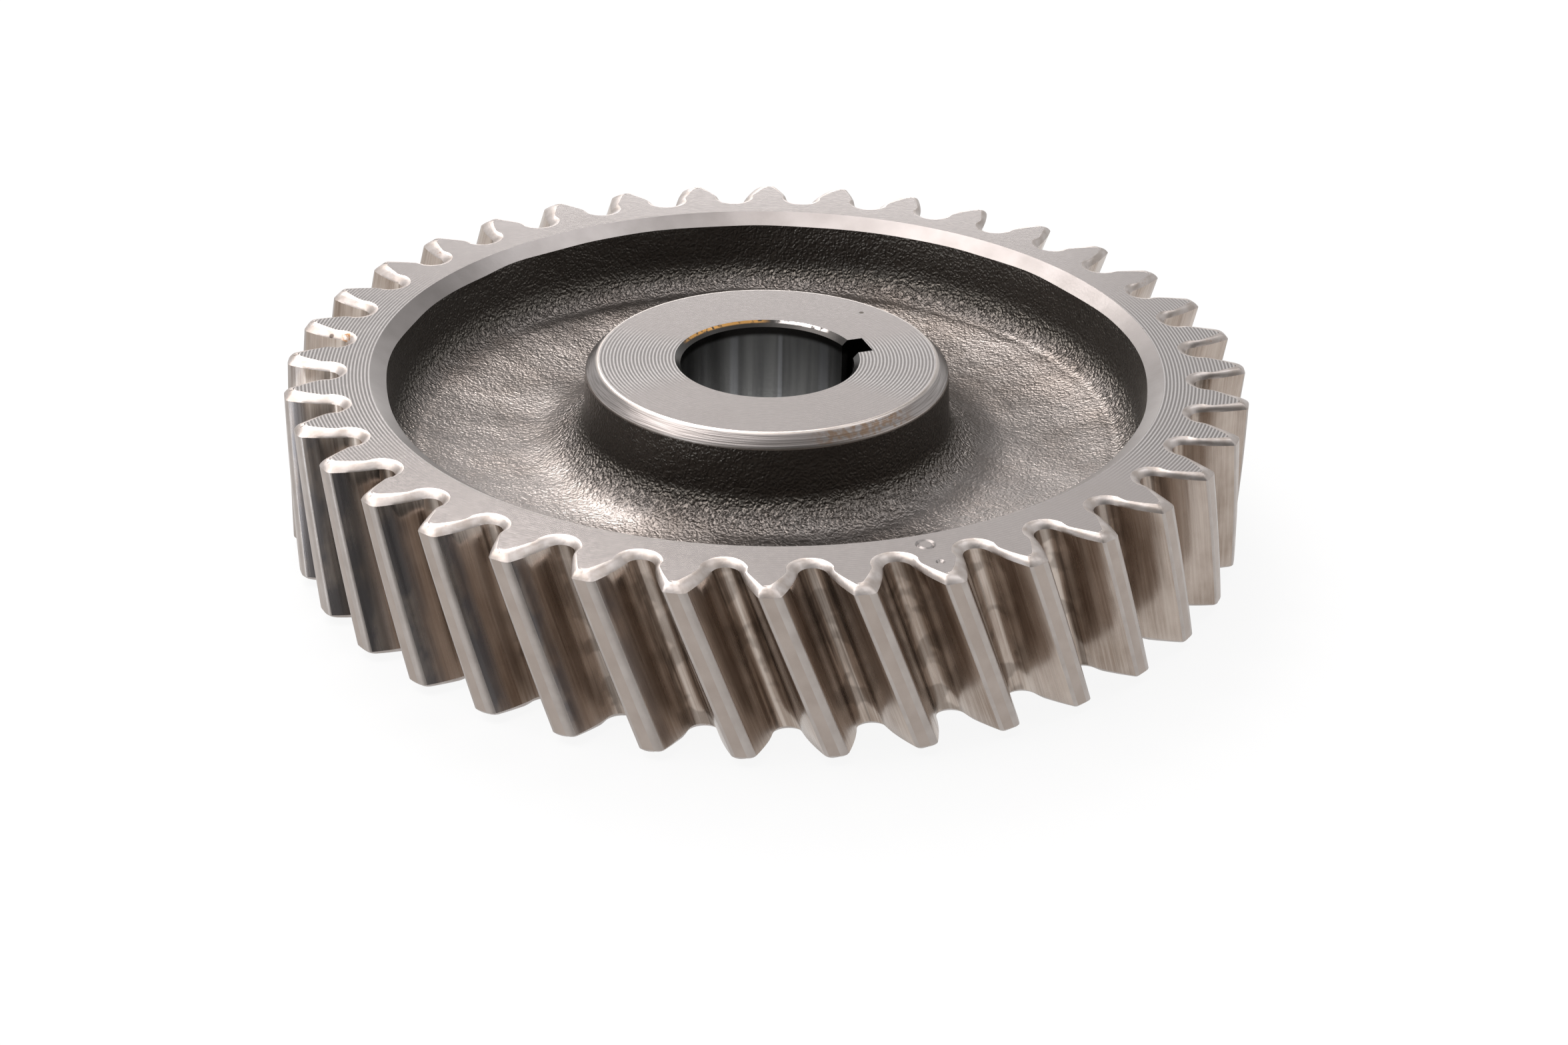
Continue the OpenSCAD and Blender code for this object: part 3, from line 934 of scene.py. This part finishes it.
def paleWorld():
    world = bpy.data.worlds.new("paleWorld")
    world.use_nodes = True
    bpy.context.scene.world = world
    tree = world.node_tree
    path = node(tree, "LightPath")
    plain = tree.nodes["Background"]
    plain.inputs["Color"].default_value = (*studioLook["world"], 1)
    plain.inputs["Strength"].default_value = studioLook["worldLevel"]
    # The room is dim behind the photographer and above the gear's right side, and only reflections show it
    dim = 0.0
    for azimuth, elevation, full, none, level in studioLook["dimParts"]:
        azimuth, elevation, full, none = (math.radians(angle) for angle in (azimuth, elevation, full, none))
        middle = polar(math.cos(elevation), azimuth, math.sin(elevation))
        way = node(tree, "TexCoord").outputs["Object"]
        towards = vectorCalc(tree, "DOT_PRODUCT", way, middle, output="Value")
        part = spread(tree, towards, math.cos(none), math.cos(full), 0.0, 1 - level, soft=True)
        dim = calc(tree, "MAXIMUM", dim, part)
    level = calc(tree, "SUBTRACT", 1.0, times(tree, dim, path.outputs["Is Glossy Ray"]))
    white = node(tree, "Background", {"Color": (1, 1, 1, 1), "Strength": level})
    mixed = node(tree, "MixShader", {0: whiteShare(tree, path), 1: plain.outputs[0], 2: white.outputs[0]})
    tree.links.new(mixed.outputs[0], tree.nodes["World Output"].inputs["Surface"])


# Each lamp stands at an azimuth and an elevation around the gear, in degrees, and at a distance in metres.
# The camera stands at azimuth -109.
lampPlan = {
    "behindSoftbox": {"at": (91, 49, 0.8), "size": (0.32, 0.34), "power": 4.4, "colour": (1.0, 0.97, 0.95)},
    "leftWindow": {"at": (160, 54, 0.8), "size": (0.5, 0.46), "power": 3.0, "colour": (1.0, 0.965, 0.95)},
    "overhead": {"at": (180, 80, 0.8), "size": (0.5, 0.4), "power": 1.6, "colour": (1.0, 0.975, 0.97)},
    "rightSoftbox": {"at": (6, 59, 0.8), "size": (0.3, 0.34), "power": 1.0, "colour": (0.97, 0.98, 1.0)},
    "backdrop": {"at": (71, 9, 1.2), "size": (0.36, 0.4), "power": 1.4, "colour": (1.0, 0.98, 0.97)},
    "webSheen": {"at": (67, 50, 0.8), "size": (0.16, 0.14), "power": 0.5, "colour": (1.0, 0.95, 0.93)},
    "coolSide": {"at": (203, 9, 0.8), "size": (0.12, 0.3), "power": 0.5, "colour": (0.8, 0.9, 1.0)},
}
lampCentre = Vector((0, 0, 0.015))  # the place that every lamp faces


def addLamps():
    for name, plan in lampPlan.items():
        light = bpy.data.lights.new(name, "AREA")
        light.shape = "RECTANGLE"
        light.size, light.size_y = plan["size"]
        light.energy = plan["power"]
        light.color = plan["colour"]
        azimuth, elevation, distance = plan["at"]
        azimuth, elevation = math.radians(azimuth), math.radians(elevation)
        away = polar(math.cos(elevation), azimuth, math.sin(elevation))
        lamp = linked(name, light)
        lamp.location = away * distance + lampCentre
        lamp.rotation_euler = away.to_track_quat("Z", "Y").to_euler()


cameraPlan = {
    "lens": 70.479, "sensor": 36, "nearest": 0.01,
    "at": (-0.11639, -0.33301, 0.184934), "turn": (62.2138, -0.8217, -19.2283),
}


def addCamera():
    data = bpy.data.cameras.new("photoCamera")
    data.lens = cameraPlan["lens"]
    data.sensor_width = cameraPlan["sensor"]
    data.sensor_fit = "HORIZONTAL"
    data.clip_start = cameraPlan["nearest"]
    camera = linked("photoCamera", data)
    camera.location = cameraPlan["at"]
    camera.rotation_euler = [math.radians(angle) for angle in cameraPlan["turn"]]
    bpy.context.scene.camera = camera


stageFloor()
paleWorld()
addLamps()
addCamera()
bpy.context.scene.view_settings.view_transform = "Standard"
print("studio: floor, world,", len(lampPlan), "lamps and camera")
